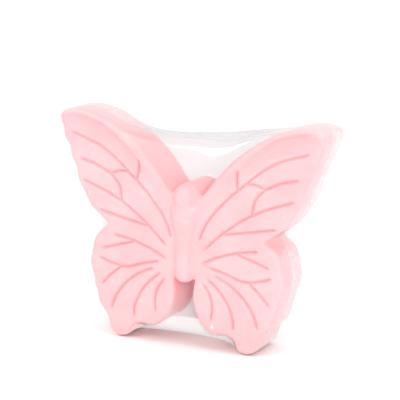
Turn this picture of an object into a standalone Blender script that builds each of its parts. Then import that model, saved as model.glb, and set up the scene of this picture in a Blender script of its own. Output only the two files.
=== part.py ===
"""Butterfly guest soap in a clear shrink-film wrap.

The bar is one casting: a thick flat slab with a butterfly outline, raised
body and engraved wing veins on its front.  The wrap is a heat-shrunk film
envelope: a front ply, a back ply and the welded seam that joins them round
the middle of the side walls.  The bar stands upright on its two tail tips.

Frame: X is the width, the front faces -Y and Z is up.  The origin is the
centre of the bottom of the whole wrapped object.  Nothing moves.
"""

import math

import bmesh
import bpy
from mathutils import Matrix, Vector

# Driving dimensions, all in millimetres.
MM = 0.001
BAR_THICKNESS = 16.5
BODY_PROUD = 2.2
FILM_GAP = 0.3
FILM_THICKNESS = 0.3
EDGE_ROUND = 1.0
OUTLINE_GROWTH = 0.25
GROOVE_RADIUS = 0.45
SEAM_WIDTH = 0.8
CURVE_STEPS = 2
RIM_SEGMENTS = 2

# Derived places.  The walls stand a little outside the drawn outline, which
# follows the middle of the rounded rims.
FILM_INNER = OUTLINE_GROWTH + FILM_GAP
FILM_OUTER = FILM_INNER + FILM_THICKNESS
BAR_LIFT = FILM_OUTER
BAR_FRONT = -(BAR_THICKNESS - BODY_PROUD) / 2.0
BAR_BACK = BAR_FRONT + BAR_THICKNESS
SEAM_Y = (BAR_FRONT + BAR_BACK) / 2.0
PLY_EDGE = SEAM_WIDTH / 2.0 + FILM_GAP

# Half outline of the bar, right-hand side, as (x, z) from the top of the head
# down to the tip of the abdomen.  z is measured from the tail tips.
HEAD = [(0.0, 45.9), (2.0, 45.4), (3.4, 44.0)]
HEAD_CREASE = (4.2, 42.4)
LEADING_EDGE = [(5.6, 43.7), (8.2, 47.1), (12.3, 51.9), (17.2, 56.4), (22.4, 59.9), (27.4, 62.5)]
WING_TIP = [(32.5, 63.9), (37.0, 64.0), (39.4, 63.1), (40.0, 61.4)]
UPPER_SCALLOPS = [
    (38.8, 58.4),
    (38.5, 56.3),
    (36.9, 54.1),
    (36.3, 51.2),
    (34.6, 47.9),
    (33.9, 44.5),
    (32.0, 41.1),
    (30.6, 38.6),
    (28.8, 36.1),
    (26.4, 34.3),
]
SIDE_NOTCH = (23.8, 32.1)
LOWER_SCALLOPS = [
    (25.3, 30.5),
    (27.5, 28.6),
    (28.6, 26.2),
    (28.8, 24.3),
    (29.6, 21.2),
    (29.0, 18.2),
    (28.2, 16.0),
    (28.0, 14.0),
    (27.1, 12.0),
    (26.7, 9.6),
    (25.3, 7.2),
    (23.8, 5.6),
]
FOOT = [(20.8, 0.0), (18.2, 0.0)]
TAIL = [(23.1, 3.4), (22.4, 1.2)] + FOOT + [(16.9, 0.8), (16.1, 2.6)]
INNER_LOBE = [
    (14.8, 3.9),
    (12.7, 4.35),
    (10.6, 4.1),
    (8.4, 4.5),
    (6.3, 6.0),
    (4.5, 8.6),
    (3.4, 11.6),
    (3.0, 14.6),
    (3.3, 17.4),
    (3.6, 19.3),
]
CLEFT = (3.1, 20.6)
ABDOMEN_TIP = [(2.3, 19.1), (1.2, 18.2), (0.0, 17.9)]
CORNERS = [HEAD_CREASE, SIDE_NOTCH, CLEFT] + FOOT

# Where the film leaves the bar and spans a hollow.  The top span meets the
# two wings at different heights, as a hand-fed wrap does.
TOP_SPAN = [(-18.0, 58.5), (-11.0, 57.8), (-3.0, 58.1), (7.0, 59.3), (16.0, 60.7), (22.3, 61.6)]
LEFT_TOP_LEAVES = 22.4
RIGHT_TOP_LEAVES = 27.4
FILM_NOTCH = [(25.4, 33.0), (25.9, 30.8)]
TAIL_SPAN = [(15.8, 1.9), (11.5, 2.8), (5.0, 3.2)]

# Raised body parts: height of centre, half width, half height, proud of face.
BODY_PARTS = {
    "head": (42.3, 3.4, 3.5, 2.0),
    "thorax": (36.4, 4.4, 5.2, BODY_PROUD),
    "abdomen": (25.9, 2.8, 7.8, 1.9),
}
BODY_SINK = 1.2

# Engraved veins of the right-hand wings, as (x, z) from root to rim.
VEINS = {
    "leading": [(4.2, 30.6), (6.0, 34.9), (11.4, 42.0), (17.0, 47.3), (25.9, 54.2), (36.7, 58.2)],
    "leading_spur": [(15.4, 46.2), (15.0, 49.2), (15.2, 52.3)],
    "cell_top": [(18.3, 48.2), (21.0, 48.1), (23.6, 47.1)],
    "cell_rim": [(23.6, 47.1), (28.4, 49.3), (33.8, 50.7)],
    "cell_side": [(20.0, 39.8), (20.8, 43.8), (23.6, 47.1)],
    "middle": [(5.3, 27.6), (12.4, 34.2), (20.2, 39.6), (27.0, 42.6), (32.5, 44.5)],
    "middle_spur": [(12.1, 33.3), (19.0, 34.6), (27.8, 36.4)],
    "hind_top": [(5.0, 24.0), (11.0, 26.8), (17.2, 28.7), (22.7, 29.6)],
    "hind_top_spur": [(16.5, 27.9), (21.3, 26.5), (26.1, 24.9)],
    "hind_upper": [(7.1, 23.4), (12.0, 22.3), (18.3, 20.5), (23.2, 21.2), (26.8, 22.5)],
    "hind_upper_spur": [(19.8, 20.4), (23.3, 17.3), (26.1, 14.2)],
    "hind_lower": [(8.8, 21.4), (13.4, 19.4), (18.1, 15.8), (21.2, 11.6), (22.9, 7.2)],
    "hind_inner": [(6.6, 20.5), (10.4, 17.4), (13.8, 12.9), (15.4, 8.4), (15.4, 6.0)],
    "hind_root": [(5.5, 19.0), (8.0, 15.5), (8.9, 11.0), (8.4, 7.9)],
}

SOAP_PINK = (0.94, 0.60, 0.62, 1.0)
FILM_CLEAR = (0.93, 0.94, 0.95, 0.22)


def clear_scene():
    """Remove every object that the scene starts with."""
    for item in list(bpy.data.objects):
        bpy.data.objects.remove(item, do_unlink=True)


def new_collection(name):
    """Add a collection to the scene."""
    collection = bpy.data.collections.new(name)
    bpy.context.scene.collection.children.link(collection)
    return collection


def principled(name, colour, roughness, transmission=0.0):
    """Return a Principled material."""
    material = bpy.data.materials.new(name)
    material.use_nodes = True
    shader = material.node_tree.nodes["Principled BSDF"]
    shader.inputs["Base Color"].default_value = colour
    shader.inputs["Metallic"].default_value = 0.0
    shader.inputs["Roughness"].default_value = roughness
    shader.inputs["Alpha"].default_value = colour[3]
    shader.inputs["Transmission Weight"].default_value = transmission
    return material


def smooth_loop(points, corners=(), closed=True):
    """Read a smooth curve through the points, keeping the named corners sharp."""
    places = [Vector(point) for point in points]
    count = len(places)
    spans = count if closed else count - 1

    def tangent(index, leaving):
        here = places[index]
        before = places[(index - 1) % count] if closed or index > 0 else None
        after = places[(index + 1) % count] if closed or index < count - 1 else None
        if before is None or (leaving and points[index] in corners):
            return (after - here).normalized()
        if after is None or points[index] in corners:
            return (here - before).normalized()
        back = (here - before).length
        ahead = (after - here).length
        slope_in = (here - before) / back * ahead
        slope_out = (after - here) / ahead * back
        return (slope_in + slope_out) / (back + ahead)

    loop = []
    for index in range(spans):
        start = places[index]
        end = places[(index + 1) % count]
        reach = (end - start).length
        pull_start = tangent(index, True) * reach
        pull_end = tangent((index + 1) % count, False) * reach
        for step in range(CURVE_STEPS):
            t = step / CURVE_STEPS
            weight_start = 2 * t**3 - 3 * t**2 + 1
            weight_end = 3 * t**2 - 2 * t**3
            point = start * weight_start + end * weight_end
            point = point + pull_start * (t**3 - 2 * t**2 + t) + pull_end * (t**3 - t**2)
            loop.append(point)
    if not closed:
        loop.append(places[-1])
    return loop


def offset_loop(loop, distance):
    """Move a clockwise closed loop outwards by a distance, with mitred corners."""
    count = len(loop)
    moved = []
    for index, here in enumerate(loop):
        into = (here - loop[index - 1]).normalized()
        out = (loop[(index + 1) % count] - here).normalized()
        normal_in = Vector((-into.y, into.x))
        normal_out = Vector((-out.y, out.x))
        mitre = (normal_in + normal_out).normalized()
        moved.append(here + mitre * distance / max(mitre.dot(normal_out), 0.5))
    return moved


def mirrored(points):
    """Return the points on the left-hand side, in the opposite order."""
    return [(-x, z) for x, z in reversed(points) if x > 0.0]


def bar_outline():
    """Return the closed outline of the bar, clockwise seen from the front."""
    half = HEAD + [HEAD_CREASE] + LEADING_EDGE + WING_TIP + UPPER_SCALLOPS + [SIDE_NOTCH]
    half = half + LOWER_SCALLOPS + TAIL + INNER_LOBE + [CLEFT] + ABDOMEN_TIP
    corners = CORNERS + mirrored(CORNERS)
    return offset_loop(smooth_loop(half + mirrored(half), corners), OUTLINE_GROWTH)


def film_outline():
    """Return the closed outline that the film follows before its offsets."""
    wing = WING_TIP + UPPER_SCALLOPS + FILM_NOTCH + LOWER_SCALLOPS[1:] + TAIL[:-1] + TAIL_SPAN
    right_edge = [point for point in LEADING_EDGE if point[0] >= RIGHT_TOP_LEAVES]
    left_edge = [point for point in LEADING_EDGE if point[0] >= LEFT_TOP_LEAVES]
    points = right_edge + wing + mirrored(left_edge + wing) + TOP_SPAN
    return smooth_loop(points, FOOT + mirrored(FOOT))


def slab_mesh(name, loops, y_low, y_high, collection):
    """Extrude flat closed loops between two depths and return the mesh object."""
    curve = bpy.data.curves.new(name, "CURVE")
    curve.dimensions = "2D"
    curve.fill_mode = "BOTH"
    curve.extrude = (y_high - y_low) / 2.0 * MM
    curve.render_resolution_u = 0
    for loop in loops:
        spline = curve.splines.new("POLY")
        spline.points.add(len(loop) - 1)
        for point, place in zip(spline.points, loop):
            point.co = (place.x * MM, (place.y + BAR_LIFT) * MM, 0.0, 1.0)
        spline.use_cyclic_u = True
    item = bpy.data.objects.new(name, curve)
    item.rotation_euler = (math.radians(90.0), 0.0, 0.0)
    item.location = (0.0, (y_low + y_high) / 2.0 * MM, 0.0)
    return as_mesh(item, name, collection)


def as_mesh(item, name, collection):
    """Turn a curve object into a welded mesh object with its place in the mesh."""
    collection.objects.link(item)
    bpy.context.view_layer.update()
    evaluated = item.evaluated_get(bpy.context.evaluated_depsgraph_get())
    mesh = bpy.data.meshes.new_from_object(evaluated)
    place = item.matrix_world.copy()
    curve = item.data
    bpy.data.objects.remove(item, do_unlink=True)
    bpy.data.curves.remove(curve)
    mesh.name = name
    mesh.transform(place)
    shape = bmesh.new()
    shape.from_mesh(mesh)
    bmesh.ops.remove_doubles(shape, verts=shape.verts, dist=0.00001)
    bmesh.ops.recalc_face_normals(shape, faces=shape.faces)
    shape.to_mesh(mesh)
    shape.free()
    solid = bpy.data.objects.new(name, mesh)
    collection.objects.link(solid)
    return solid


def flat_sides(edge):
    """Count the faces beside an edge that lie in the flat front or back."""
    return sum(1 for face in edge.link_faces if abs(face.normal.y) > 0.9)


def round_rims(item, width):
    """Round the edges where the flat front and back meet the side walls."""
    shape = bmesh.new()
    shape.from_mesh(item.data)
    inside_caps = [edge for edge in shape.edges if flat_sides(edge) == 2]
    bmesh.ops.dissolve_edges(shape, edges=inside_caps, use_verts=False)
    rims = [edge for edge in shape.edges if flat_sides(edge) == 1]
    bmesh.ops.bevel(
        shape,
        geom=rims,
        offset=width * MM,
        affect="EDGES",
        segments=RIM_SEGMENTS,
        profile=0.5,
        material=-1,
    )
    bmesh.ops.recalc_face_normals(shape, faces=shape.faces)
    shape.to_mesh(item.data)
    shape.free()


def body_part(name, growth, collection):
    """Make one raised body part as an egg sunk into the bar's front face."""
    height, half_width, half_height, proud = BODY_PARTS[name]
    mesh = bpy.data.meshes.new(name)
    shape = bmesh.new()
    bmesh.ops.create_uvsphere(shape, u_segments=20, v_segments=12, radius=1.0)
    radii = Vector((half_width, proud + BODY_SINK, half_height)) + Vector((growth, growth, growth))
    centre = Vector((0.0, BAR_FRONT + BODY_SINK, height + BAR_LIFT))
    place = Matrix.Translation(centre * MM) @ Matrix.Diagonal(radii * MM).to_4x4()
    bmesh.ops.transform(shape, matrix=place, verts=shape.verts)
    bmesh.ops.recalc_face_normals(shape, faces=shape.faces)
    shape.to_mesh(mesh)
    shape.free()
    item = bpy.data.objects.new(name, mesh)
    collection.objects.link(item)
    return item


def vein_cutter(name, points, collection):
    """Make one round cutter that engraves a vein into the front face."""
    curve = bpy.data.curves.new(name, "CURVE")
    curve.dimensions = "3D"
    curve.bevel_depth = GROOVE_RADIUS * MM
    curve.bevel_resolution = 1
    curve.use_fill_caps = True
    curve.render_resolution_u = 0
    spline = curve.splines.new("POLY")
    loop = smooth_loop(points, closed=False)
    spline.points.add(len(loop) - 1)
    for point, place in zip(spline.points, loop):
        point.co = (place.x * MM, BAR_FRONT * MM, (place.y + BAR_LIFT) * MM, 1.0)
    return as_mesh(bpy.data.objects.new(name, curve), name, collection)


def boolean(item, other, operation):
    """Add an exact Boolean modifier that reads another object."""
    modifier = item.modifiers.new(other.name, "BOOLEAN")
    modifier.operation = operation
    modifier.solver = "EXACT"
    modifier.object = other


def hide_cutters(cutters):
    """Keep the cutters out of the finished model."""
    for item in cutters.objects:
        item.hide_render = True
        item.display_type = "WIRE"


def settle(item):
    """Apply an object's modifiers, so that later tools can shape the result."""
    bpy.context.view_layer.update()
    evaluated = item.evaluated_get(bpy.context.evaluated_depsgraph_get())
    mesh = bpy.data.meshes.new_from_object(evaluated)
    item.modifiers.clear()
    item.data = mesh


def smooth_shading(item, degrees):
    """Shade an object smooth, with sharp edges past an angle."""
    item.data.shade_smooth()
    item.data.set_sharp_from_angle(angle=math.radians(degrees))


def make_bar(parts, cutters, material):
    """Build the cast bar: slab, raised body and engraved veins."""
    bar = slab_mesh("soap_bar", [bar_outline()], BAR_FRONT, BAR_BACK, parts)
    round_rims(bar, EDGE_ROUND)
    for name in BODY_PARTS:
        boolean(bar, body_part(name, 0.0, cutters), "UNION")
    for name, points in VEINS.items():
        for side in (1.0, -1.0):
            sided = [(x * side, z) for x, z in points]
            label = name + ("_right" if side > 0.0 else "_left")
            boolean(bar, vein_cutter(label, sided, cutters), "DIFFERENCE")
    bar.data.materials.append(material)
    smooth_shading(bar, 35.0)
    return bar


def make_ply(name, keep_front, parts, cutters, material):
    """Build one film ply: a thin open tray shrunk over its half of the bar."""
    outline = offset_loop(film_outline(), FILM_INNER)
    ply = slab_mesh(name, [outline], BAR_FRONT - FILM_GAP, BAR_BACK + FILM_GAP, parts)
    round_rims(ply, EDGE_ROUND)
    if keep_front:
        for part in BODY_PARTS:
            cover = body_part(part, FILM_GAP, cutters)
            cover.name = part + "_cover"
            boolean(ply, cover, "UNION")
        settle(ply)
    cut_y = SEAM_Y - PLY_EDGE if keep_front else SEAM_Y + PLY_EDGE
    shape = bmesh.new()
    shape.from_mesh(ply.data)
    bmesh.ops.bisect_plane(
        shape,
        geom=shape.verts[:] + shape.edges[:] + shape.faces[:],
        plane_co=(0.0, cut_y * MM, 0.0),
        plane_no=(0.0, 1.0, 0.0),
        clear_outer=keep_front,
        clear_inner=not keep_front,
    )
    shape.to_mesh(ply.data)
    shape.free()
    skin = ply.modifiers.new("film", "SOLIDIFY")
    skin.thickness = FILM_THICKNESS * MM
    skin.offset = 1.0
    skin.use_even_offset = True
    ply.data.materials.clear()
    ply.data.materials.append(material)
    smooth_shading(ply, 35.0)
    return ply


def make_seam(parts, material):
    """Build the welded seam, a flat band round the middle of the side walls."""
    outline = film_outline()
    loops = [offset_loop(outline, FILM_OUTER), offset_loop(outline, FILM_INNER)]
    half = SEAM_WIDTH / 2.0
    seam = slab_mesh("film_seam", loops, SEAM_Y - half, SEAM_Y + half, parts)
    seam.data.materials.append(material)
    return seam


def main():
    """Build the wrapped soap."""
    clear_scene()
    parts = new_collection("butterfly_soap")
    cutters = new_collection("cutters")
    soap = principled("cast_soap", SOAP_PINK, 0.55)
    film = principled("shrink_film", FILM_CLEAR, 0.08)
    weld = principled("welded_film", FILM_CLEAR, 0.2)
    make_bar(parts, cutters, soap)
    make_ply("film_front", True, parts, cutters, film)
    make_ply("film_back", False, parts, cutters, film)
    make_seam(parts, weld)
    hide_cutters(cutters)


main()
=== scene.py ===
"""Butterfly guest soap in clear shrink film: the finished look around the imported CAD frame.

The bar is one soap casting with a raised body and engraved wing veins.  A thin polyolefin film is
shrunk over it in two plies, which are welded together round the middle of the side walls, so it
spans the V between the upper wings and the gap between the tails.

Shapes are modelled in millimetres and scaled to metres when they are finished.
"""

from __future__ import annotations

import logging
import math
from dataclasses import dataclass
from enum import Enum

import bmesh
import bpy
import numpy as np
from bmesh.types import BMEdge, BMesh, BMVert
from bpy.types import Material, Mesh, Node, NodeSocket, NodeTree, Object
from mathutils import Matrix, Vector, kdtree, noise

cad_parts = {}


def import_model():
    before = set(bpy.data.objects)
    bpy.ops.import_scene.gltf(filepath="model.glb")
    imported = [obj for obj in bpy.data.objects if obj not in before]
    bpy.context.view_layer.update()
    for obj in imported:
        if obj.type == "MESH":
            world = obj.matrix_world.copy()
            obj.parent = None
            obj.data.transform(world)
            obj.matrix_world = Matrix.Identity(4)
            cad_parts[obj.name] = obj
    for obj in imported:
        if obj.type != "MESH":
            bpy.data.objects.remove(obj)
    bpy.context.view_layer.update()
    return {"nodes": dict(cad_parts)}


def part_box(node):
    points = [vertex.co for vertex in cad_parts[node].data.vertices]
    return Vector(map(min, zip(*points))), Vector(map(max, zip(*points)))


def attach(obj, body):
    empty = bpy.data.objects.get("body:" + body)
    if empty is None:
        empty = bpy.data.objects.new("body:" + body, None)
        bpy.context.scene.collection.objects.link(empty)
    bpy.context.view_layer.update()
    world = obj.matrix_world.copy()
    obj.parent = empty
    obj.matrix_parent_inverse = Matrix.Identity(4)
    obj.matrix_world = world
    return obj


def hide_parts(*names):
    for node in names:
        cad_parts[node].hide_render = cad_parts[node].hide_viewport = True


Array = np.ndarray
Triple = tuple[float, float, float]

LOG = logging.getLogger("butterfly_soap")
MM = 0.001
ROOT = "root"
# A depth beyond everything in the scene, in millimetres.
FAR = 100.0
# How far the faces of the film skin stand off the bar's faces, in millimetres.
FILM_STANDOFF = 0.3


class Ply(Enum):
    """The two webs of film, by the CAD node that each one stands for."""

    FRONT = "film_front"
    BACK = "film_back"


# ---- Numbers and places ----


def ramp(low: float, high: float, value: Array) -> Array:
    """Rise smoothly from 0 to 1.

    Args:
        low: Where the rise starts.
        high: Where it ends.
        value: The numbers to look up.

    Returns:
        The rise at each number.
    """
    t = np.clip((value - low) / (high - low), 0.0, 1.0)
    return t * t * (3.0 - 2.0 * t)


def bump(middle: float, reach: float, value: Array) -> Array:
    """Return a bell that is 1 at the middle and dies away over a reach."""
    return np.exp(-(((value - middle) / reach) ** 2))


def grain(places: Array, size: Triple, seed: float) -> Array:
    """Read smooth noise at each place.

    Args:
        places: Rows of x, y and z.
        size: The size of one lump along x, y and z.
        seed: Moves the noise, so that two uses differ.

    Returns:
        The noise, from about -1 to 1.
    """
    rows = places / np.array(size) + seed
    return np.array([noise.noise(Vector(row)) for row in rows])


def vertex_places(mesh: Mesh) -> Array:
    """Return a mesh's vertex positions as rows."""
    places = np.empty(len(mesh.vertices) * 3, np.float32)
    mesh.vertices.foreach_get("co", places)
    return places.reshape(-1, 3).astype(np.float64)


def vertex_normals(mesh: Mesh) -> Array:
    """Return a mesh's vertex normals as rows."""
    normals = np.empty(len(mesh.vertices) * 3, np.float32)
    mesh.vertex_normals.foreach_get("vector", normals)
    return normals.reshape(-1, 3).astype(np.float64)


def move_vertices(mesh: Mesh, places: Array) -> None:
    """Write new vertex positions into a mesh."""
    mesh.vertices.foreach_set("co", places.astype(np.float32).ravel())
    mesh.update()


def smooth_path(points: Array, closed: bool, steps: int) -> Array:
    """Read a smooth curve through points, keeping the sharpest turns as corners.

    Args:
        points: Rows of x and z.
        closed: Whether the last point joins the first.
        steps: How many points each span gives.

    Returns:
        Rows of x and z along the curve.
    """
    corner = math.radians(38.0)
    ahead = np.roll(points, -1, axis=0) - points
    behind = points - np.roll(points, 1, axis=0)
    if not closed:
        ahead[-1] = behind[-1]
        behind[0] = ahead[0]
    reach_out = np.linalg.norm(ahead, axis=1, keepdims=True)
    reach_in = np.linalg.norm(behind, axis=1, keepdims=True)
    out = ahead / reach_out
    into = behind / reach_in
    through = (out * reach_in + into * reach_out) / (reach_in + reach_out)
    turn = np.arccos(np.clip((out * into).sum(axis=1, keepdims=True), -1.0, 1.0))
    leave = np.where(turn > corner, out, through)
    arrive = np.where(turn > corner, into, through)
    path = []
    for index in range(len(points) if closed else len(points) - 1):
        after = (index + 1) % len(points)
        reach = reach_out[index]
        for step in range(steps):
            t = step / steps
            point = points[index] * (2 * t**3 - 3 * t**2 + 1) + points[after] * (3 * t**2 - 2 * t**3)
            point = point + leave[index] * reach * (t**3 - 2 * t**2 + t)
            path.append(point + arrive[after] * reach * (t**3 - t**2))
    if not closed:
        path.append(points[-1])
    return np.array(path)


class Track:
    """A path across the wings whose nearest point is found fast."""

    def __init__(self, points: list[tuple[float, float]], steps: int = 60, side: float = 1.0) -> None:
        """Index a smooth path.

        Args:
            points: Places as x and z on the right-hand side.
            steps: How many indexed points each span gives.
            side: -1 for the mirror image on the left-hand side.
        """
        self.path = smooth_path(np.array(points), False, steps) * (side, 1.0)
        self.tree = kdtree.KDTree(len(self.path))
        for index, (x, z) in enumerate(self.path):
            self.tree.insert((x, 0.0, z), index)
        self.tree.balance()
        self.length = float(np.linalg.norm(np.diff(self.path, axis=0), axis=1).sum())

    def nearest(self, places: Array) -> tuple[Array, Array]:
        """Find how far each place is from the path.

        Args:
            places: Rows of x, y and z.

        Returns:
            The distances in the plane of the wings, and how far along the path each nearest point
            is, from 0 to 1.
        """
        found = [self.tree.find((x, 0.0, z)) for x, _, z in places]
        distance = np.array([item[2] for item in found])
        along = np.array([item[1] for item in found]) / (len(self.path) - 1)
        return distance, along


# ---- Meshes ----


def new_object(name: str, shape: BMesh) -> Object:
    """Turn a bmesh into an object in the scene.

    Args:
        name: The object's name.
        shape: The bmesh, which is freed.

    Returns:
        The new object.
    """
    mesh = bpy.data.meshes.new(name)
    shape.to_mesh(mesh)
    shape.free()
    item = bpy.data.objects.new(name, mesh)
    bpy.context.scene.collection.objects.link(item)
    return item


def remove_object(item: Object) -> None:
    """Delete an object and its mesh."""
    mesh = item.data
    bpy.data.objects.remove(item, do_unlink=True)
    bpy.data.meshes.remove(mesh)


def apply_modifiers(item: Object) -> None:
    """Replace an object's mesh with what its modifiers make of it."""
    bpy.context.view_layer.update()
    evaluated = item.evaluated_get(bpy.context.evaluated_depsgraph_get())
    mesh = bpy.data.meshes.new_from_object(evaluated)
    item.modifiers.clear()
    old = item.data
    item.data = mesh
    bpy.data.meshes.remove(old)
    mesh.name = item.name


def remesh(item: Object, voxel: float, smoothing: int) -> None:
    """Rebuild a closed shape as even quads and soften it.

    Args:
        item: The object, whose closed shapes may overlap.
        voxel: The size of a quad in millimetres.
        smoothing: How many rounds of smoothing follow.
    """
    rebuild = item.modifiers.new("even_quads", "REMESH")
    rebuild.mode = "VOXEL"
    rebuild.voxel_size = voxel
    soften = item.modifiers.new("soften", "SMOOTH")
    soften.factor = 0.5
    soften.iterations = smoothing
    apply_modifiers(item)


def finish_piece(item: Object, material: Material) -> None:
    """Give a piece its material, scale it to metres and shade it smooth up to its cut edges."""
    item.data.materials.clear()
    item.data.materials.append(material)
    LOG.info("%s: %d faces", item.name, len(item.data.polygons))
    item.data.transform(Matrix.Scale(MM, 4))
    item.data.shade_smooth()
    item.data.set_sharp_from_angle(angle=math.radians(75.0))


def section(node: Object, depth: float) -> list[Array]:
    """Cut a CAD node at one depth and read the outlines of the cut.

    Args:
        node: The CAD node.
        depth: The y of the cut in millimetres.

    Returns:
        Rows of x and z for each closed outline, the widest outline first.
    """
    shape = bmesh.new()
    shape.from_mesh(node.data)
    bmesh.ops.scale(shape, vec=(1.0 / MM,) * 3, verts=shape.verts)
    bmesh.ops.remove_doubles(shape, verts=shape.verts, dist=0.002)
    bmesh.ops.dissolve_limit(shape, angle_limit=math.radians(0.4), verts=shape.verts, edges=shape.edges)
    cut = bmesh.ops.bisect_plane(
        shape,
        geom=shape.verts[:] + shape.edges[:] + shape.faces[:],
        plane_co=(0.0, depth, 0.0),
        plane_no=(0.0, 1.0, 0.0),
        clear_inner=True,
        clear_outer=True,
    )
    left = {item for item in cut["geom_cut"] if isinstance(item, BMEdge)}
    loops = []
    while left:
        edge = left.pop()
        first, vert = edge.verts
        loop = [first]
        while vert is not first:
            loop.append(vert)
            edge = next(item for item in vert.link_edges if item in left)
            left.discard(edge)
            vert = edge.other_vert(vert)
        loops.append(np.array([(item.co.x, item.co.z) for item in loop]))
    shape.free()
    return sorted(loops, key=lambda loop: -np.ptp(loop[:, 0]))


def round_rims(shape: BMesh, rims: list[BMEdge], radius: float, segments: int) -> None:
    """Round some edges of a shape.

    Args:
        shape: The shape.
        rims: Its edges to round.
        radius: Their radius.
        segments: How many faces each one becomes.
    """
    bmesh.ops.bevel(
        shape,
        geom=rims,
        offset=radius,
        affect="EDGES",
        segments=segments,
        profile=0.5,
        material=-1,
    )


def slab(outline: Array, front: float, back: float, rim: float) -> BMesh:
    """Extrude an outline from front to back and round both its rims.

    Args:
        outline: Rows of x and z, closed.
        front: The y of the front face.
        back: The y of the back face.
        rim: The radius of the rims.

    Returns:
        The closed shape.
    """
    shape = bmesh.new()
    face = shape.faces.new([shape.verts.new((x, front, z)) for x, z in outline])
    made = bmesh.ops.extrude_face_region(shape, geom=[face])
    moved = [item for item in made["geom"] if isinstance(item, BMVert)]
    bmesh.ops.translate(shape, vec=(0.0, back - front, 0.0), verts=moved)
    bmesh.ops.recalc_face_normals(shape, faces=shape.faces)
    rims = [
        edge
        for edge in shape.edges
        if sum(abs(side.normal.y) > 0.9 for side in edge.link_faces) == 1
    ]
    round_rims(shape, rims, rim, 5)
    bmesh.ops.triangulate(shape, faces=shape.faces)
    bmesh.ops.recalc_face_normals(shape, faces=shape.faces)
    return shape


# ---- Finishes ----


def linear(colour: str) -> tuple[float, float, float, float]:
    """Turn an sRGB hex colour into linear red, green, blue and alpha."""
    parts = [int(colour[index : index + 2], 16) / 255.0 for index in (1, 3, 5)]
    red, green, blue = (c / 12.92 if c <= 0.04045 else ((c + 0.055) / 1.055) ** 2.4 for c in parts)
    return red, green, blue, 1.0


def add_node(
    tree: NodeTree,
    kind: str,
    settings: dict[str, object] | None = None,
    inputs: dict[str, object] | None = None,
) -> Node:
    """Add one node with its settings and its inputs.

    Args:
        tree: The node tree.
        kind: The node's type.
        settings: Values for the node's own properties.
        inputs: For each input's name or number, a value or the socket to link it to.

    Returns:
        The new node.
    """
    node = tree.nodes.new(kind)
    for name, value in (settings or {}).items():
        setattr(node, name, value)
    for name, value in (inputs or {}).items():
        if isinstance(value, NodeSocket):
            tree.links.new(value, node.inputs[name])
        else:
            node.inputs[name].default_value = value
    return node


def new_material(name: str) -> tuple[Material, NodeTree, NodeSocket]:
    """Start an empty material.

    Args:
        name: The material's name.

    Returns:
        The material, its node tree and the socket that its shader goes into.
    """
    material = bpy.data.materials.new(name)
    material.use_nodes = True
    tree = material.node_tree
    tree.nodes.clear()
    output = tree.nodes.new("ShaderNodeOutputMaterial")
    return material, tree, output.inputs["Surface"]


def object_noise(tree: NodeTree, size: Triple, detail: float) -> NodeSocket:
    """Add noise that is fixed to the object.

    Args:
        tree: The node tree.
        size: The size of one lump along x, y and z, in millimetres.
        detail: How many finer layers the noise has.

    Returns:
        The noise's value, from 0 to 1.
    """
    where = add_node(tree, "ShaderNodeTexCoord").outputs["Object"]
    scale = tuple(1.0 / (part * MM) for part in size)
    mapped = add_node(tree, "ShaderNodeMapping", inputs={"Vector": where, "Scale": scale})
    lumps = add_node(
        tree,
        "ShaderNodeTexNoise",
        inputs={"Vector": mapped.outputs["Vector"], "Scale": 1.0, "Detail": detail},
    )
    return lumps.outputs[0]


def spread(
    tree: NodeTree,
    value: NodeSocket,
    source: tuple[float, float],
    target: tuple[float, float],
) -> NodeSocket:
    """Map a value from one range to another and hold it there.

    Args:
        tree: The node tree.
        value: The value to map.
        source: The range that it comes from.
        target: The range that it goes to.

    Returns:
        The mapped value.
    """
    mapped = add_node(
        tree,
        "ShaderNodeMapRange",
        {"clamp": True},
        {
            "Value": value,
            "From Min": source[0],
            "From Max": source[1],
            "To Min": target[0],
            "To Max": target[1],
        },
    )
    return mapped.outputs["Result"]


def blend(tree: NodeTree, share: NodeSocket, first: object, second: object) -> NodeSocket:
    """Mix two colours.

    Args:
        tree: The node tree.
        share: How much of the second colour there is, from 0 to 1.
        first: A colour, or a socket that gives one.
        second: The same.

    Returns:
        The mixed colour.
    """
    inputs = {0: share, 6: first, 7: second}
    return add_node(tree, "ShaderNodeMix", {"data_type": "RGBA"}, inputs).outputs[2]


def attribute(tree: NodeTree, name: str) -> NodeSocket:
    """Read a number that is stored on the mesh."""
    return add_node(tree, "ShaderNodeAttribute", {"attribute_name": name}).outputs["Fac"]


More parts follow.
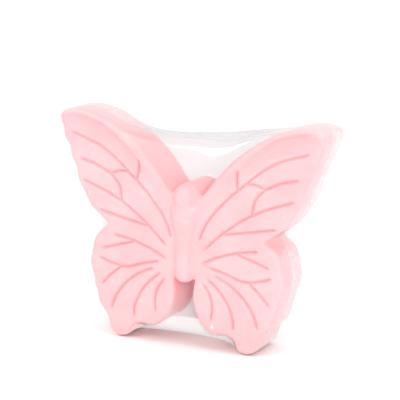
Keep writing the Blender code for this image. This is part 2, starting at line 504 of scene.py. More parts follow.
@dataclass(frozen=True)
class CastSoap:
    """Glycerine and palm-oil soap, cast in a soft mould.

    It is waxy and lets light in a little, so edges glow and grooves stay pink and not grey.  Its
    skin has a low satin sheen, broken by faint lumps and by tiny white specks of dried lather.
    The grooves and the scoop by the leading rims are painted a deeper pink as shade.
    """

    light: str = "#FDBBBE"
    deep: str = "#FCB3B7"
    speck: str = "#FFF0EF"
    # Painted shade: the deeper pink of the grooves and of the scoop by the leading rims.
    groove_shade: str = "#F98F97"
    roughness: tuple[float, float] = (0.44, 0.62)
    cloud_mm: float = 9.0
    grain_mm: float = 0.5
    speck_mm: float = 2.6

    def material(self) -> Material:
        """Build the material."""
        material, tree, surface = new_material("cast_soap_pink")
        clouds = object_noise(tree, (self.cloud_mm,) * 3, 3.0)
        fine = object_noise(tree, (self.grain_mm,) * 3, 2.0)
        spots = object_noise(tree, (self.speck_mm,) * 3, 6.0)
        cloudy = spread(tree, clouds, (0.35, 0.65), (0.0, 1.0))
        pink = blend(tree, cloudy, linear(self.light), linear(self.deep))
        flecked = spread(tree, spots, (0.70, 0.78), (0.0, 0.7))
        speckled = blend(tree, flecked, pink, linear(self.speck))
        # Painted shade in the grooves and the scoop, as a deeper pink.
        groove_shade_share = spread(tree, attribute(tree, "groove_shade"), (0.0, 1.0), (0.0, 0.4))
        shaded_pink = blend(tree, groove_shade_share, speckled, linear(self.groove_shade))
        relief = add_node(
            tree,
            "ShaderNodeBump",
            inputs={"Strength": 0.25, "Distance": 0.04 * MM, "Height": fine},
        )
        shader = add_node(
            tree,
            "ShaderNodeBsdfPrincipled",
            inputs={
                "Base Color": shaded_pink,
                "Roughness": spread(tree, fine, (0.3, 0.7), self.roughness),
                "IOR": 1.47,
                "Subsurface Weight": 0.5,
                "Subsurface Radius": (1.0, 0.32, 0.3),
                "Subsurface Scale": 2.4 * MM,
                "Normal": relief.outputs["Normal"],
            },
        )
        tree.links.new(shader.outputs[0], surface)
        return material


@dataclass(frozen=True)
class ShrinkFilm:
    """Polyolefin shrink film, 15 to 20 micrometres thick.

    It is clear and glossy.  Seen square on it nearly vanishes; seen edge on it turns into a pale
    sheen, and where it has gathered it is milky.  The haze attribute says how much each surface
    hides, and the most gathered film is the whitest; the same attribute carries a painted highlight
    along the fold between the wings, in that white.  The other attribute says where the film has
    nothing but air behind it, where it is painted a greyer tone as shade, since nothing behind lights
    it.
    """

    name: str
    tone: str = "#F0EDEE"
    # Painted shade: the greyer tone of film with only air behind it.
    gap_shade_tone: str = "#D4D5D7"
    # Also the white of the painted highlight along the fold between the wings.
    gathered: str = "#FDFDFD"
    roughness: float = 0.10
    shine: float = 0.01
    sheen: float = 0.4
    falloff: float = 4.5
    crease_mm: Triple = (7.0, 1.6, 1.4)
    crease_depth_mm: float = 0.03

    def material(self) -> Material:
        """Build the material."""
        material, tree, surface = new_material(self.name)
        creases = object_noise(tree, self.crease_mm, 2.0)
        relief = add_node(
            tree,
            "ShaderNodeBump",
            inputs={"Strength": 0.6, "Distance": self.crease_depth_mm * MM, "Height": creases},
        )
        facing = add_node(
            tree,
            "ShaderNodeLayerWeight",
            inputs={"Blend": 0.5, "Normal": relief.outputs["Normal"]},
        )
        edge_on = add_node(
            tree,
            "ShaderNodeMath",
            {"operation": "POWER"},
            {0: facing.outputs["Facing"], 1: self.falloff},
        )
        # The haze attribute also carries the painted highlight along the fold.
        milky = attribute(tree, "haze")
        veil = add_node(
            tree,
            "ShaderNodeMath",
            {"operation": "ADD"},
            {0: milky, 1: self.shine},
        )
        cover = add_node(
            tree,
            "ShaderNodeMath",
            {"operation": "MULTIPLY_ADD", "use_clamp": True},
            {0: edge_on.outputs[0], 1: self.sheen, 2: veil.outputs[0]},
        )
        # Painted shade: where only air lies behind, the film turns greyer.
        gap_shade = attribute(tree, "gap_shade")
        taut = blend(tree, gap_shade, linear(self.tone), linear(self.gap_shade_tone))
        # Gathered film and the painted highlight along the fold both take the whitest colour.
        whitest = spread(tree, milky, (0.4, 0.7), (0.0, 1.0))
        colour = blend(tree, whitest, taut, linear(self.gathered))
        clear = add_node(tree, "ShaderNodeBsdfTransparent", inputs={"Color": linear("#FCFCFC")})
        glossy = add_node(
            tree,
            "ShaderNodeBsdfPrincipled",
            inputs={
                "Base Color": colour,
                "Roughness": self.roughness,
                "IOR": 1.5,
                "Specular IOR Level": 1.0,
                "Normal": relief.outputs["Normal"],
            },
        )
        mixed = add_node(
            tree,
            "ShaderNodeMixShader",
            inputs={0: cover.outputs[0], 1: clear.outputs[0], 2: glossy.outputs[0]},
        )
        tree.links.new(mixed.outputs[0], surface)
        return material


@dataclass(frozen=True)
class StudioPaper:
    """A seamless paper sweep: matt and almost white."""

    colour: str = "#FBFBFB"
    fibre_mm: float = 2.0

    def material(self) -> Material:
        """Build the material."""
        material, tree, surface = new_material("studio_paper")
        fibres = object_noise(tree, (self.fibre_mm,) * 3, 4.0)
        shader = add_node(
            tree,
            "ShaderNodeBsdfPrincipled",
            inputs={
                "Base Color": linear(self.colour),
                "Roughness": spread(tree, fibres, (0.3, 0.7), (0.8, 0.9)),
            },
        )
        tree.links.new(shader.outputs[0], surface)
        return material


# ---- The soap bar ----

# Wing veins of the right-hand side, as x and z above the tail tips, from root to rim.
VEINS = {
    "leading": [(4.2, 30.6), (6.0, 34.9), (11.4, 42.0), (17.0, 47.3), (25.9, 54.2), (36.7, 58.2)],
    "leading_spur": [(15.4, 46.2), (15.0, 49.2), (15.2, 52.3)],
    "cell_top": [(18.3, 48.2), (21.0, 48.1), (23.6, 47.1)],
    "cell_rim": [(23.6, 47.1), (28.4, 49.3), (33.8, 50.7)],
    "cell_side": [(20.0, 39.8), (20.8, 43.8), (23.6, 47.1)],
    "middle": [(5.3, 27.6), (12.4, 34.2), (20.2, 39.6), (27.0, 42.6), (32.5, 44.5)],
    "middle_spur": [(12.1, 33.3), (19.0, 34.6), (27.8, 36.4)],
    "hind_top": [(5.0, 24.0), (11.0, 26.8), (17.2, 28.7), (22.7, 29.6)],
    "hind_top_spur": [(16.5, 27.9), (21.3, 26.5), (26.1, 24.9)],
    "hind_upper": [(7.1, 23.4), (12.0, 22.3), (18.3, 20.5), (23.2, 21.2), (26.8, 22.5)],
    "hind_upper_spur": [(19.8, 20.4), (23.3, 17.3), (26.1, 14.2)],
    "hind_lower": [(8.8, 21.4), (13.4, 19.4), (18.1, 15.8), (21.2, 11.6), (22.9, 7.2)],
    "hind_inner": [(6.6, 20.5), (10.4, 17.4), (13.8, 12.9), (15.4, 8.4), (15.4, 6.0)],
    "hind_root": [(5.5, 19.0), (8.0, 15.5), (8.9, 11.0), (8.4, 7.9)],
}
# Veins that start on another vein, and veins that end on one.
BRANCHES = {
    "leading_spur",
    "cell_top",
    "cell_rim",
    "cell_side",
    "middle_spur",
    "hind_top_spur",
    "hind_upper_spur",
}
LINKED = {"cell_top", "cell_side"}
# The rim in front of the leading vein, from the head's crease to the wing tip.
LEADING_RIM = [(4.2, 42.4), (8.2, 47.1), (17.2, 56.4), (27.4, 62.5), (37.0, 64.0), (39.4, 63.1)]
# The raised body as height above the tail tips, half width, and how far it stands proud.
TRUNK = [
    (18.1, 0.0, 0.0),
    (18.4, 1.3, 0.9),
    (19.2, 2.15, 1.5),
    (21.0, 2.65, 1.9),
    (26.0, 2.75, 1.9),
    (29.8, 2.75, 1.75),
    (31.6, 2.8, 1.55),
    (33.6, 3.5, 1.75),
    (35.6, 4.15, 2.05),
    (38.0, 4.4, 2.2),
    (39.6, 4.3, 2.15),
    (40.5, 3.7, 1.85),
    (40.9, 2.7, 1.3),
    (41.0, 0.0, 0.0),
]


@dataclass
class SoapBar:
    """The cast bar, in millimetres in the frame's axes.

    Attributes:
        outline: Rows of x and z round the side walls.
        front: The y of the flat of the front face.
        back: The y of the back face.
        lift: How far the tail tips stand above the floor.
        rim_radius: The radius of the rims.
        voxel: The size of the skin's quads.
        body_sink: How far the body and the head reach into the slab.
        head_height: How high the middle of the head is above the tail tips.
        stem_radius: The radius of the step round the head.
        stem_proud: How far that step stands out of the front face.
        face_radius: The radius of the head.
        face_proud: How far the head stands out.
        squareness: How square the body is in section; 2 is round.
        vein_width: Half the width of a vein.
        vein_depth: How deep a vein is.
        lip_place: How far from a vein its raised lip is.
        lip_reach: How wide the lip is.
        lip_height: How far it stands out.
        root_taper: The length over which a vein deepens at its root.
        end_taper: The length over which it dies out at its end.
    """

    outline: Array
    front: float
    back: float
    lift: float
    rim_radius: float = 1.0
    voxel: float = 0.45
    body_sink: float = 1.2
    head_height: float = 42.5
    stem_radius: float = 3.45
    stem_proud: float = 1.0
    face_radius: float = 2.75
    face_proud: float = 2.1
    squareness: float = 2.5
    vein_width: float = 0.34
    vein_depth: float = 0.9
    lip_place: float = 1.15
    lip_reach: float = 0.4
    lip_height: float = 0.07
    root_taper: float = 1.8
    end_taper: float = 1.4

    def trunk(self) -> BMesh:
        """Turn the thorax and abdomen as one round body and flatten it to its depth."""
        shape = bmesh.new()
        rows = np.array(TRUNK)
        heights = rows[:, 0] + self.lift
        profile = [shape.verts.new((half, 0.0, z)) for z, half in zip(heights, rows[:, 1])]
        edges = [shape.edges.new(pair) for pair in zip(profile, profile[1:])]
        bmesh.ops.spin(
            shape,
            geom=profile + edges,
            axis=(0.0, 0.0, 1.0),
            cent=(0.0, 0.0, 0.0),
            angle=math.tau,
            steps=32,
            use_merge=True,
        )
        bmesh.ops.remove_doubles(shape, verts=shape.verts, dist=0.01)
        power = 2.0 / self.squareness
        for vert in shape.verts:
            half = float(np.interp(vert.co.z, heights, rows[:, 1]))
            proud = float(np.interp(vert.co.z, heights, rows[:, 2])) + self.body_sink
            if half < 0.1:
                vert.co.y = self.front + self.body_sink
                continue
            across, out = vert.co.x / half, vert.co.y / half
            vert.co.x = math.copysign(abs(across) ** power, across) * half
            vert.co.y = math.copysign(abs(out) ** power, out) * proud + self.front + self.body_sink
        bmesh.ops.recalc_face_normals(shape, faces=shape.faces)
        return shape

    def boss(self, radius: float, proud: float, rim: float) -> BMesh:
        """Make one round boss of the head.

        Args:
            radius: Its radius.
            proud: How far it stands out of the front face.
            rim: The radius of its front rim.

        Returns:
            The closed shape.
        """
        shape = bmesh.new()
        depth = proud + self.body_sink
        place = (0.0, self.front + self.body_sink - depth / 2.0, self.head_height + self.lift)
        bmesh.ops.create_cone(
            shape,
            cap_ends=True,
            segments=48,
            radius1=radius,
            radius2=radius,
            depth=depth,
            matrix=Matrix.Translation(place) @ Matrix.Rotation(math.radians(90.0), 4, "X"),
        )
        outermost = min(vert.co.y for vert in shape.verts) + 0.01
        rims = [edge for edge in shape.edges if all(vert.co.y < outermost for vert in edge.verts)]
        round_rims(shape, rims, rim, 6)
        bmesh.ops.recalc_face_normals(shape, faces=shape.faces)
        return shape

    def blank(self) -> Object:
        """Cast the bar without its veins: the slab, the trunk and the head as one skin."""
        whole = bmesh.new()
        solids = [
            slab(self.outline, self.front, self.back, self.rim_radius),
            self.trunk(),
            self.boss(self.stem_radius, self.stem_proud, 0.6),
            self.boss(self.face_radius, self.face_proud, 1.1),
        ]
        for part in solids:
            mesh = bpy.data.meshes.new("part")
            part.to_mesh(mesh)
            part.free()
            whole.from_mesh(mesh)
            bpy.data.meshes.remove(mesh)
        item = new_object("soap", whole)
        remesh(item, self.voxel, 2)
        return item

    def tracks(self) -> dict[str, list[Track]]:
        """Index every vein on both sides."""
        lifted = {name: [(x, z + self.lift) for x, z in points] for name, points in VEINS.items()}
        return {
            name: [Track(points, side=side) for side in (1.0, -1.0)] for name, points in lifted.items()
        }

    def refine(self, item: Object, tracks: dict[str, list[Track]]) -> None:
        """Give the mesh finer faces along the veins."""
        shape = bmesh.new()
        shape.from_mesh(item.data)
        shape.verts.ensure_lookup_table()
        places = vertex_places(item.data)
        near = self.vein_distance(places, tracks)
        fine = (near < self.vein_width * 1.9) & (places[:, 1] < self.front + 1.2)
        edges = [edge for edge in shape.edges if fine[edge.verts[0].index] and fine[edge.verts[1].index]]
        bmesh.ops.subdivide_edges(shape, edges=edges, cuts=1, use_grid_fill=True)
        shape.to_mesh(item.data)
        shape.free()

    def vein_distance(self, places: Array, tracks: dict[str, list[Track]]) -> Array:
        """Return how far each place is from the nearest vein."""
        return np.min([track.nearest(places)[0] for pair in tracks.values() for track in pair], axis=0)

    def relief(self, places: Array, tracks: dict[str, list[Track]]) -> tuple[Array, Array]:
        """Work out how the front face is carved at each place.

        Args:
            places: Rows of x, y and z.
            tracks: Every vein on both sides.

        Returns:
            How deep the face is carved, and how much painted shade deepens its colour in the grooves and
            the scoop by the rim, from 0 to 1.
        """
        groove = np.zeros(len(places))
        lips = np.zeros(len(places))
        for name, pair in tracks.items():
            opens = 0.0 if name in BRANCHES else 1.0
            for track in pair:
                distance, along = track.nearest(places)
                reach = track.length * along
                left = track.length - reach
                taper = (1.0 - opens) + opens * ramp(0.0, self.root_taper, reach)
                taper *= 1.0 if name in LINKED else ramp(0.0, self.end_taper, left)
                groove = np.maximum(groove, taper * bump(0.0, self.vein_width, distance))
                lips = np.maximum(lips, taper * bump(self.lip_place, self.lip_reach, distance))
        recess = np.zeros(len(places))
        rim_points = [(x, z + self.lift) for x, z in LEADING_RIM]
        for side, vein in zip((1.0, -1.0), tracks["leading"]):
            rim_distance, _ = Track(rim_points, side=side).nearest(places)
            vein_distance, _ = vein.nearest(places)
            across = rim_distance / np.maximum(rim_distance + vein_distance, 0.01)
            x = places[:, 0] * side
            above = self.above(places, vein, side)
            strong = 0.35 + 0.85 * ramp(11.0, 20.0, x) * (1.0 - ramp(32.0, 38.5, x))
            lip = 2.6 - 1.4 * ramp(12.0, 30.0, x)
            inside = ramp(lip * 0.4, lip * 1.5, rim_distance) * (1.0 - ramp(0.45, 1.0, across))
            recess += above * strong * inside * ramp(5.0, 9.0, x)
        depth = self.vein_depth * groove - self.lip_height * lips * (1.0 - groove) + recess
        # Painted shade: the grooves, and the scoop by the rim more faintly, deepen the pink.
        return depth, np.maximum(groove**1.5, 0.28 * recess)

    def above(self, places: Array, vein: Track, side: float) -> Array:
        """Return 1 where a place lies between a leading vein and its rim, and 0 elsewhere."""
        order = np.argsort(vein.path[:, 0])
        level = np.interp(places[:, 0], vein.path[order, 0], vein.path[order, 1])
        return ((places[:, 2] > level) & (places[:, 0] * side > 4.0)).astype(float)

    def carve(self, item: Object, tracks: dict[str, list[Track]]) -> None:
        """Engrave the front face and give the whole casting its unevenness."""
        places = vertex_places(item.data)
        normals = vertex_normals(item.data)
        facing = places[:, 1] < self.front + 3.0
        depth, shade = np.zeros(len(places)), np.zeros(len(places))
        depth[facing], shade[facing] = self.relief(places[facing], tracks)
        near_face = 1.0 - ramp(0.4, 3.0, places[:, 1] - self.front)
        places[:, 1] += depth * near_face
        # Store the painted shade of the grooves and the scoop on the mesh.
        groove_shade = item.data.attributes.new("groove_shade", "FLOAT", "POINT")
        groove_shade.data.foreach_set("value", (shade * near_face).astype(np.float32))
        lumps = 0.07 * grain(places, (9.0, 9.0, 9.0), 3.1) + 0.03 * grain(places, (2.6, 2.6, 2.6), 8.7)
        places += normals * lumps[:, None]
        move_vertices(item.data, places)

    def build(self) -> Object:
        """Make the whole bar in millimetres."""
        item = self.blank()
        tracks = self.tracks()
        self.refine(item, tracks)
        self.carve(item, tracks)
        return item


# ---- The film ----


@dataclass(frozen=True)
class FilmRegions:
    """Where each vertex of the film skin lies.

    Attributes:
        x: How far each vertex is to the right, in millimetres.
        depth: How far it is behind the front of the film.
        z: How high it is above the tail tips.
        normals: The normals there.
        wall: 1 on the side walls and 0 on the front and the back.
        behind: 0 at the front, rising to 1 behind the weld.
        span: 1 between the upper wings.
        outer: 1 on the outer walls.
        tip: 1 on both upper wing tips.
        pleats: Long noise across the wings, from about -1 to 1.
        fine: The same, finer.
    """

    x: Array
    depth: Array
    z: Array
    normals: Array
    wall: Array
    behind: Array
    span: Array
    outer: Array
    tip: Array
    pleats: Array
    fine: Array

    @property
    def top(self) -> Array:
        """How far each vertex faces up, from 0 to 1."""
        return ramp(0.0, 0.9, self.normals[:, 2])


@dataclass
class FilmWrap:
    """The shrunk film, in millimetres in the frame's axes.

    Each haze is the share that one surface of the film hides.

    Attributes:
        outline: Rows of x and z round the film.
        front: The y where the film lies on the front face.
        back: The y where it lies on the back face.
        seam: The y of the weld round the side walls.
        lift: How far the tail tips stand above the floor.
        voxel: The size of the skin's quads.
        tighten_rounds: How often the skin is drawn tight and held off the bar.
        clearance: The air between the bar and the film.
        thickness: How thick each ply is drawn.
        weld_width: How wide the weld is.
        weld_rise: How far the weld stands out of the plies.
        tent_height: How far the front ply stands off the wings beside the body.
        tent_reach: How far from the body it lies down on them.
        fold_fall: How far the folded edge sags between the wings.
        rim_reach: How far inside the back rims the film already hangs free.
        pleat_size: The size of one pleat between the wings.
        fine_size: The size of one fine pleat.
        crumple_size: The size of one crumple on the outer walls.
        ridge_size: The size of one milky ridge there.
        patch_size: The size of one cloudy patch behind the weld.
        pleat_height: How far the pleats stand out.
        fine_height: How far the fine pleats stand out.
        crumple_height: How far the crumples stand out at the front.
        back_crumple_height: How much more they stand out behind the weld.
        clear_haze: The haze of taut film.
        wall_haze: What the side walls add to it.
        gathered_haze: What the gathered walls behind the weld add.
        tip_haze: What the wing tips add there.
        patch_haze: How much that varies.
        span_haze: The haze of the front ply over open air, low down and at the top of the V.
        back_span_haze: The haze of the back ply over open air.
        tail_haze: What the span between the tails adds.
        pleat_haze: What the pleats add.
        ridge_haze: What the milky ridges add.
        fold_highlight_haze: The haze of the painted highlight along the folded edge.
        under_clearing: How much haze the undersides lose, since they catch no light.
    """

    outline: Array
    front: float
    back: float
    seam: float
    lift: float
    voxel: float = 0.48
    tighten_rounds: int = 6
    clearance: float = 0.12
    thickness: float = 0.05
    weld_width: float = 0.8
    weld_rise: float = 0.08
    tent_height: float = 2.3
    tent_reach: float = 15.0
    fold_fall: float = 4.2
    rim_reach: float = 1.1
    pleat_size: Triple = (16.0, 2.2, 1.6)
    fine_size: Triple = (7.0, 1.1, 1.0)
    crumple_size: Triple = (2.2, 2.0, 4.0)
    ridge_size: Triple = (3.0, 2.6, 5.0)
    patch_size: Triple = (3.5, 3.0, 5.0)
    pleat_height: float = 0.16
    fine_height: float = 0.05
    crumple_height: float = 0.03
    back_crumple_height: float = 0.07
    clear_haze: float = 0.01
    wall_haze: float = 0.05
    gathered_haze: float = 0.20
    tip_haze: float = 0.12
    patch_haze: float = 0.07
    span_haze: tuple[float, float] = (0.05, 0.14)
    back_span_haze: float = 0.3
    tail_haze: float = 0.22
    pleat_haze: float = 0.14
    ridge_haze: float = 0.12
    fold_highlight_haze: float = 0.9
    under_clearing: float = 0.4

    def tent(self, places: Array) -> Array:
        """Return how far the front ply stands off the wings, as it slopes down from the body."""
        body = Track([(0.0, 20.0 + self.lift), (0.0, 43.0 + self.lift)], steps=40)
        distance, _ = body.nearest(places)
        behind = places[:, 1] - self.front
        height = self.tent_height * (1.0 - ramp(2.5, self.tent_reach, distance))
        return np.maximum(height + behind, 0.0) * (1.0 - ramp(0.0, 1.5, behind))

    def fold(self, places: Array) -> Array:
        """Let the folded edge between the wings sag towards the front ply."""
        x, z = places[:, 0], places[:, 2] - self.lift
        fall = self.fold_fall * bump(9.5, 8.0, x) + 0.2 * self.fold_fall * bump(-6.0, 8.0, x)
        forward = 1.0 - ramp(0.0, 1.0, (places[:, 1] - self.front) / (self.back - self.front))
        return fall * forward * ramp(47.0, 56.0, z)

    def skin(self, bar: Object) -> Object:
        """Lay a closed skin over the bar and let it draw tight.

        Args:
            bar: The finished bar.

        Returns:
            The closed skin, taut over the hollows.
        """
        shape = slab(self.outline, self.front, self.back, 1.0)
        shape.from_mesh(bar.data)
        item = new_object("film_skin", shape)
        remesh(item, self.voxel, 1)
        places = vertex_places(item.data)
        places[:, 1] -= self.tent(places)
        places[:, 2] -= self.fold(places)
        move_vertices(item.data, places)
        for _ in range(self.tighten_rounds):
            tighten = item.modifiers.new("tighten", "SMOOTH")
            tighten.factor = 0.5
            tighten.iterations = 10
            hold = item.modifiers.new("hold", "SHRINKWRAP")
            hold.target = bar
            hold.wrap_method = "NEAREST_SURFACEPOINT"
            hold.wrap_mode = "OUTSIDE"
            hold.offset = self.clearance
        apply_modifiers(item)
        return item

    def open_air(self, places: Array, bar: Object) -> Array:
        """Return 1 where the film spans open air, seen from front to back, and 0 over the bar.

        At the back the film has already left the bar on the rounded rims.
        """
        ahead = Vector((0.0, 1.0, 0.0))

        def clear(x: float, z: float) -> bool:
            """Tell whether a ray from the front misses the bar."""
            return not bar.ray_cast(Vector((x, -FAR, z)), ahead)[0]

        wide = self.rim_reach
        return np.array(
            [
                clear(x, z) or (y > self.seam and (clear(x - wide, z) or clear(x + wide, z)))
                for x, y, z in places
            ],
            float,
        )

    def regions(self, item: Object) -> FilmRegions:
        """Sort the vertices of the skin into its regions."""
        places = vertex_places(item.data)
        normals = vertex_normals(item.data)
        x, y, z = places[:, 0], places[:, 1], places[:, 2] - self.lift
        wall = 1.0 - ramp(0.55, 0.9, np.abs(normals[:, 1]))
        span = ramp(50.0, 55.0, z) * (1.0 - ramp(17.0, 27.0, np.abs(x - 1.0)))
        return FilmRegions(
            x=x,
            depth=y - self.front,
            z=z,
            normals=normals,
            wall=wall,
            behind=ramp(-5.5, 3.0, y - self.seam),
            span=span,
            outer=wall * (1.0 - span) * ramp(20.0, 26.0, np.abs(x)),
            tip=ramp(24.0, 31.0, np.abs(x)) * ramp(40.0, 46.0, z),
            pleats=grain(places, self.pleat_size, 5.0),
            fine=grain(places, self.fine_size, 15.0),
        )

    def creases(self, places: Array, at: FilmRegions) -> Array:
        """Work out how far the shrinkage creases stand out at each place.

        Long pleats run across the V between the wings, and short crumples run down the outer walls.

        Args:
            places: Rows of x, y and z.
            at: The regions that they lie in.

        Returns:
            The heights.
        """
        crumples = grain(places, self.crumple_size, 9.0)
        height = at.wall * at.span * (self.pleat_height * at.pleats + self.fine_height * at.fine)
        deep = self.crumple_height + self.back_crumple_height * at.behind
        return height + at.outer * deep * crumples

    def fold_highlight(self, at: FilmRegions) -> Array:
        """Return 1 on the painted highlight along the fold between the wings, and 0 elsewhere."""
        width = 0.25 + 5.0 * bump(9.5, 5.5, at.x)
        reach = 0.5 + 0.5 * bump(11.0, 11.0, at.x)
        reach *= ramp(-14.0, 0.0, at.x) * (1.0 - ramp(29.0, 34.0, at.x)) * ramp(54.0, 55.0, at.z)
        inwards = at.depth / width + 0.4 * at.fine
        return reach * ramp(0.3, 0.6, at.normals[:, 2]) * (1.0 - ramp(0.7, 1.0, inwards))

    def haze(self, places: Array, at: FilmRegions, spans: Array) -> Array:
        """Work out how milky the film is at each place, with the painted highlight along the fold.

        Args:
            places: Rows of x, y and z.
            at: The regions that they lie in.
            spans: 1 where the film spans open air.

        Returns:
            The share that each surface hides.
        """
        patches = grain(places, self.patch_size, 31.0)
        ridges = np.abs(grain(places, self.ridge_size, 21.0))
        gathered = np.maximum(at.behind, 0.6 * ramp(27.0, 34.0, at.x) * at.top)
        gathered *= (self.gathered_haze + self.tip_haze * at.tip) * (1.0 - 0.35 * at.tip * at.top)
        milk = self.clear_haze + at.wall * (self.wall_haze + gathered)
        milk += at.wall * at.behind * self.patch_haze * patches
        low, high = self.span_haze
        front_veil = low + (high - low) * ramp(47.0, 57.0, at.z)
        veil = front_veil * (1.0 - at.behind) + self.back_span_haze * at.behind
        veil += self.tail_haze * (1.0 - ramp(5.0, 12.0, at.z))
        milk = np.maximum(milk, spans * veil)
        milk += at.wall * at.span * self.pleat_haze * np.maximum(at.pleats + 0.5 * at.fine, 0.0)
        milk += at.outer * self.ridge_haze * ramp(0.07, 0.0, ridges)
        # Painted highlight: the fold between the wings is painted nearly white where light glints off
        # it.
        milk = np.maximum(milk, self.fold_highlight_haze * self.fold_highlight(at))
        return milk - self.under_clearing * ramp(0.5, 0.95, -at.normals[:, 2])

    def crease(self, item: Object, bar: Object) -> None:
        """Draw the film's shrinkage creases, and store how milky the film is, with the painted highlight
        along the fold, and where it takes a painted grey as shade.

        Args:
            item: The closed skin.
            bar: The finished bar.
        """
        places = vertex_places(item.data)
        at = self.regions(item)
        spans = self.open_air(places, bar) * ramp(0.2, 0.5, np.abs(at.normals[:, 1]))
        spans *= 1.0 - bump(33.0, 7.0, at.z)
        haze = self.haze(places, at, spans)
        # Painted shade: film over open air and across the top of the V takes the greyer tone, less of it
        # low down.
        gap_shade = np.maximum(spans, at.wall * at.span) * (0.5 + 0.5 * ramp(10.0, 20.0, at.z))
        move_vertices(item.data, places + at.normals * self.creases(places, at)[:, None])
        for name, values in (("haze", np.clip(haze, -self.under_clearing, 0.9)), ("gap_shade", gap_shade)):
            layer = item.data.attributes.new(name, "FLOAT", "POINT")
            layer.data.foreach_set("value", values.astype(np.float32))

    def cut(self, skin: Object, name: str, low: float, high: float) -> Object:
        """Copy the part of the skin between two depths.

        Args:
            skin: The closed skin.
            name: The new object's name.
            low: The y where the part starts.
            high: The y where it ends.

        Returns:
            The open sheet.
        """
        shape = bmesh.new()
        shape.from_mesh(skin.data)
        for depth, direction in ((low, -1.0), (high, 1.0)):
            bmesh.ops.bisect_plane(
                shape,
                geom=shape.verts[:] + shape.edges[:] + shape.faces[:],
                plane_co=(0.0, depth, 0.0),
                plane_no=(0.0, direction, 0.0),
                clear_outer=True,
            )
        return new_object(name, shape)

    def thicken(self, ply: Object) -> None:
        """Give an open ply its thickness, outwards."""
        solid = ply.modifiers.new("thickness", "SOLIDIFY")
        solid.thickness = self.thickness
        solid.offset = 1.0
        apply_modifiers(ply)

    def build(self, bar: Object) -> tuple[dict[Ply, Object], Object]:
        """Make both plies and the weld in millimetres.

        Args:
            bar: The finished bar.

        Returns:
            The plies, and the welded seam.
        """
        skin = self.skin(bar)
        self.crease(skin, bar)
        half = self.weld_width / 2.0
        plies = {
            Ply.FRONT: self.cut(skin, "front_ply", -FAR, self.seam),
            Ply.BACK: self.cut(skin, "back_ply", self.seam, FAR),
        }
        weld = self.cut(skin, "welded_seam", self.seam - half, self.seam + half)
        remove_object(skin)
        for item in plies.values():
            self.thicken(item)
        raised = vertex_places(weld.data) + vertex_normals(weld.data) * self.weld_rise
        move_vertices(weld.data, raised)
        return plies, weld


# ---- The studio ----


@dataclass(frozen=True)
class SoftLight:
    """One square soft light that faces the object.

    Attributes:
        name: The light's name.
        place: Where it stands, in metres.
        size: The length of its side, in metres.
        power: Its power in watts.
    """

    name: str
    place: Triple
    size: float
    power: float

    def add(self) -> None:
        """Add the light to the scene, turned towards the middle of the object."""
        lamp = bpy.data.lights.new(self.name, "AREA")
        lamp.shape = "SQUARE"
        lamp.size = self.size
        lamp.energy = self.power
        item = bpy.data.objects.new(self.name, lamp)
        toward = Vector(self.place) - Vector((0.0, 0.0, 0.03))
        turn = toward.to_track_quat("Z", "Y").to_matrix().to_4x4()
        item.matrix_world = Matrix.Translation(self.place) @ turn
        bpy.context.scene.collection.objects.link(item)


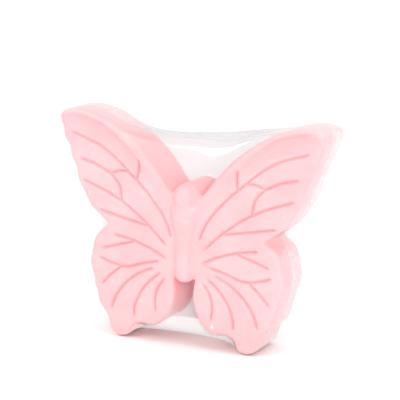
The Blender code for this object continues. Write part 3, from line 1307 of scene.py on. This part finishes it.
@dataclass(frozen=True)
class Studio:
    """A pale paper floor, soft lights and the camera.

    Attributes:
        aim: The point that the camera looks at, in millimetres.
        distance: How far the camera is from it, in millimetres.
        azimuth: How far the camera stands round towards +X, in degrees.
        elevation: How far it looks down, in degrees.
        roll: How far it leans, in degrees.
        lens_angle: Its angle of view, in degrees.
        room_strength: How bright the even light of the room is.
        lights: The soft lights.
    """

    aim: Triple = (4.514, -7.15, 42.995)
    distance: float = 422.04
    azimuth: float = 23.717
    elevation: float = 11.278
    roll: float = 1.604
    lens_angle: float = 15.0
    room_strength: float = 1.0
    lights: tuple[SoftLight, ...] = (
        SoftLight("key_light", (-1.0, -1.8, 1.35), 0.9, 13.0),
        SoftLight("top_light", (0.7, -0.3, 2.2), 1.2, 8.0),
        SoftLight("side_fill", (1.2, -1.6, 0.35), 0.7, 16.0),
    )

    def add_camera(self) -> None:
        """Add the camera and make it the scene's."""
        lens = bpy.data.cameras.new("camera")
        lens.sensor_fit = "HORIZONTAL"
        lens.angle = math.radians(self.lens_angle)
        lens.clip_start = 0.01
        camera = bpy.data.objects.new("camera", lens)
        around, down, lean = (math.radians(v) for v in (self.azimuth, self.elevation, self.roll))
        level = math.cos(down)
        back = Vector((math.sin(around) * level, -math.cos(around) * level, math.sin(down)))
        right = Vector((math.cos(around), math.sin(around), 0.0))
        up = back.cross(right)
        right, up = (
            right * math.cos(lean) + up * math.sin(lean),
            up * math.cos(lean) - right * math.sin(lean),
        )
        turn = Matrix((right, up, back)).transposed().to_4x4()
        place = (Vector(self.aim) + back * self.distance) * MM
        camera.matrix_world = Matrix.Translation(place) @ turn
        bpy.context.scene.collection.objects.link(camera)
        bpy.context.scene.camera = camera

    def add_world(self) -> None:
        """Fill the room with even white light."""
        world = bpy.data.worlds.new("white_room")
        world.use_nodes = True
        backdrop = world.node_tree.nodes["Background"]
        backdrop.inputs["Color"].default_value = linear("#FFFFFF")
        backdrop.inputs["Strength"].default_value = self.room_strength
        bpy.context.scene.world = world

    def add_floor(self) -> None:
        """Lay the paper floor under the object."""
        shape = bmesh.new()
        bmesh.ops.create_grid(shape, x_segments=4, y_segments=4, size=1.5)
        floor = new_object("paper_floor", shape)
        floor.data.materials.append(StudioPaper().material())

    def build(self) -> None:
        """Set up the whole studio."""
        scene = bpy.context.scene
        scene.view_settings.view_transform = "Standard"
        scene.view_settings.look = "None"
        self.add_camera()
        self.add_world()
        for light in self.lights:
            light.add()
        self.add_floor()


def main() -> None:
    """Build the soap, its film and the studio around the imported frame."""
    logging.basicConfig(level=logging.INFO, format="%(name)s: %(message)s")
    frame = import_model()
    nodes = frame["nodes"]
    bar_low, bar_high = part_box("soap_bar")
    seam = (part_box("film_seam")[0].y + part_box("film_seam")[1].y) / 2.0 / MM

    Studio().build()

    outline = smooth_path(section(nodes["soap_bar"], seam)[0], True, 3)
    back = bar_high.y / MM
    front = 2.0 * seam - back
    bar = SoapBar(outline, front, back, bar_low.z / MM)
    soap = bar.build()

    film_outline = smooth_path(section(nodes["film_front"], seam - 2.0)[1], True, 3)
    wrap = FilmWrap(film_outline, front - FILM_STANDOFF, back + FILM_STANDOFF, seam, bar.lift)
    plies, weld = wrap.build(soap)

    clear = ShrinkFilm("clear_shrink_film")
    hazy = ShrinkFilm("hazy_shrink_film", roughness=0.18)
    welded = ShrinkFilm("welded_film", shine=0.04, sheen=0.2, roughness=0.2)
    finishes = {Ply.FRONT: clear, Ply.BACK: hazy}

    finish_piece(soap, CastSoap().material())
    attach(soap, ROOT)
    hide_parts("soap_bar")
    finish_piece(weld, welded.material())
    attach(weld, ROOT)
    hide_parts("film_seam")
    for item in (weld, *plies.values()):
        item.visible_shadow = False
    for ply, item in plies.items():
        finish_piece(item, finishes[ply].material())
        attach(item, ROOT)
        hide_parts(ply.value)


if __name__ == "__main__":
    main()
